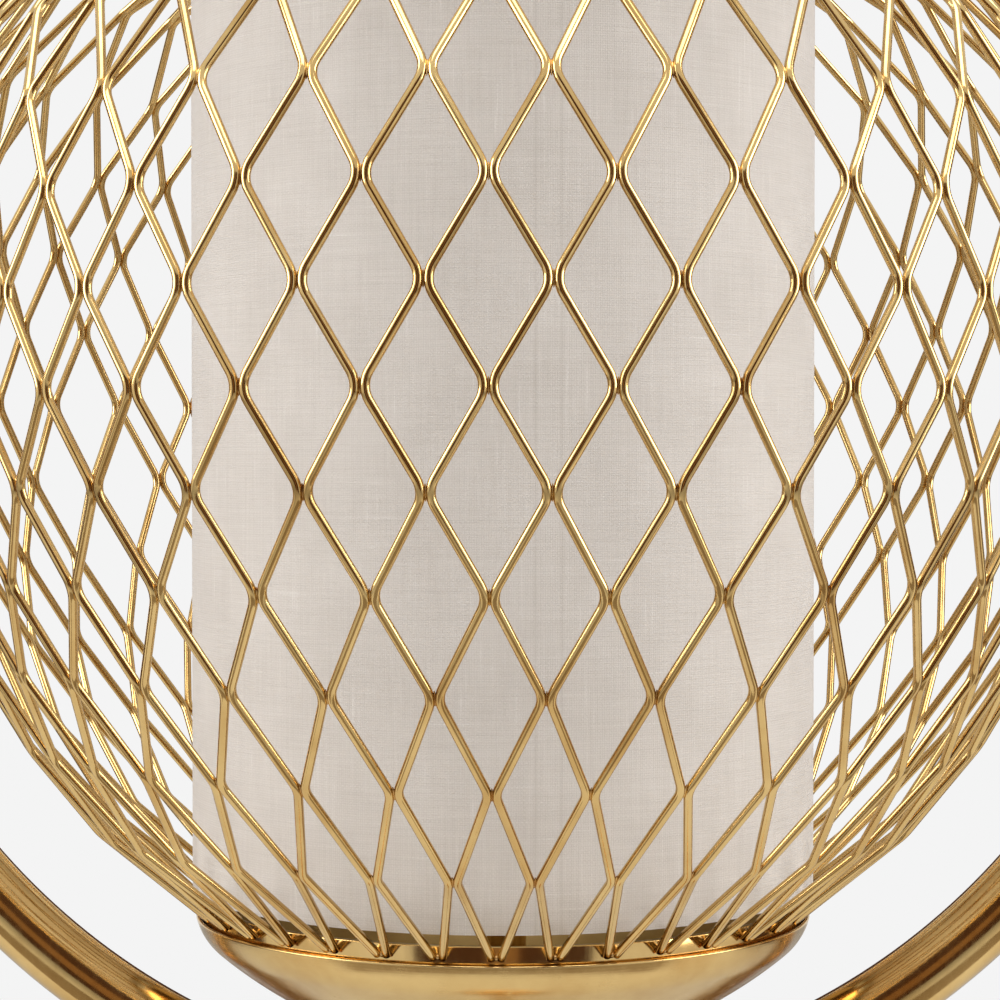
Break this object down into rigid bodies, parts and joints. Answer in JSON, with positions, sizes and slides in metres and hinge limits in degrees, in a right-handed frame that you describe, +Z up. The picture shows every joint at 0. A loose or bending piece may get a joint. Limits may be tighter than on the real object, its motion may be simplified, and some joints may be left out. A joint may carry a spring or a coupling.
{
  "type": "wire cage floor lamp",
  "caption": "Floor lamp: a spherical diamond-mesh wire cage round a linen drum shade, on a dish inside an upright tubular hoop, on a pole and a round base with a foot switch.",
  "frame": {"origin": "on the floor, under the middle of the round base", "axes": "+Z up along the pole; the hoop stands in the XZ plane, the front is -Y with the foot switch, the cord inlet is at +Y"},
  "size_m": [0.502, 0.4018, 1.5509],
  "materials": {
    "polished_brass": "polished, clear lacquer",
    "spun_brass": "polished spun sheet",
    "linen": "natural linen, plain weave",
    "liner": "white laminated lining",
    "white_lacquer": "white powder coat",
    "raw_iron": "cast, black primer",
    "black_rubber": "matt",
    "zinc_steel": "zinc plated",
    "black_moulding": "moulded phenolic",
    "white_ceramic": "unglazed steatite",
    "contact_brass": "plain",
    "opal_glass": "opal",
    "bulb_metal": "drawn",
    "bulb_insulator": "gloss",
    "bulb_carrier": "gloss",
    "lead_sheath": "clear over copper"
  },
  "bodies": {
    "lamp": {"base_cover": "spun_brass", "base_weight": "raw_iron", "base_pad": "black_rubber", "cord_inlet": "black_rubber", "foot_stud": "zinc_steel", "foot_washer": "zinc_steel", "foot_nut": "zinc_steel", "foot_collar": "polished_brass", "switch_bush": "polished_brass", "switch_nut": "zinc_steel", "switch_housing": "black_moulding", "switch_terminals": "contact_brass", "switch_spring": "zinc_steel", "pole_lower": "polished_brass", "pole_upper": "polished_brass", "joint_stud": "zinc_steel", "joint_ring": "polished_brass", "hoop": "polished_brass", "hoop_saddle": "polished_brass", "hoop_spacer": "zinc_steel", "dish_neck": "polished_brass", "head_stem": "zinc_steel", "dish": "spun_brass", "dish_washer": "zinc_steel", "dish_nut": "zinc_steel", "holder_riser": "polished_brass", "cage_foot_band": "polished_brass", "cage_mouth_band": "polished_brass", "shade_linen": "linen", "shade_liner": "liner", "hem_ring_low": "white_lacquer", "hem_ring_high": "white_lacquer", "shade_spider": "white_lacquer", "clamp_ring_low": "black_moulding", "clamp_ring_high": "black_moulding", "holder_cap": "polished_brass", "holder_insert": "white_ceramic", "holder_shell": "black_moulding", "holder_sleeve": "contact_brass", "holder_contact": "contact_brass", "inner_lead": "lead_sheath", "cage_wires_01": "polished_brass", "cage_wires_02": "polished_brass", "cage_wires_03": "polished_brass", "cage_wires_04": "polished_brass", "cage_wires_05": "polished_brass", "cage_wires_06": "polished_brass", "cage_wires_07": "polished_brass", "cage_wires_08": "polished_brass", "cage_wires_09": "polished_brass", "cage_wires_10": "polished_brass", "cage_wires_11": "polished_brass", "cage_wires_12": "polished_brass"},
    "foot_button": {"foot_button": "polished_brass", "switch_bridge": "contact_brass"},
    "bulb_thread": {"bulb_tip": "bulb_insulator"},
    "bulb": {"bulb_cap": "bulb_metal", "bulb_post": "bulb_carrier", "bulb_glass": "opal_glass"}
  },
  "joints": [
    {"name": "foot_button_press", "type": "slide", "parent": "lamp", "child": "foot_button", "axis": [0, 0, -1], "range_m": [0, 0.004], "stiffness_N_per_m": 1500, "springref_m": -0.0015, "deforming": ["switch_spring"]},
    {"name": "bulb_lift", "type": "slide", "parent": "lamp", "child": "bulb_thread", "axis": [0, 0, 1], "range_m": [0, 0.022]},
    {"name": "bulb_turn", "type": "hinge", "parent": "bulb_thread", "child": "bulb", "pos_m": [0, 0, 1.18], "axis": [0, 0, 1], "range_deg": [0, 2182]}
  ],
  "couplings": [
    {"joint": "bulb_lift", "follows": "bulb_turn", "m_per_rad": 0.00057757}
  ]
}
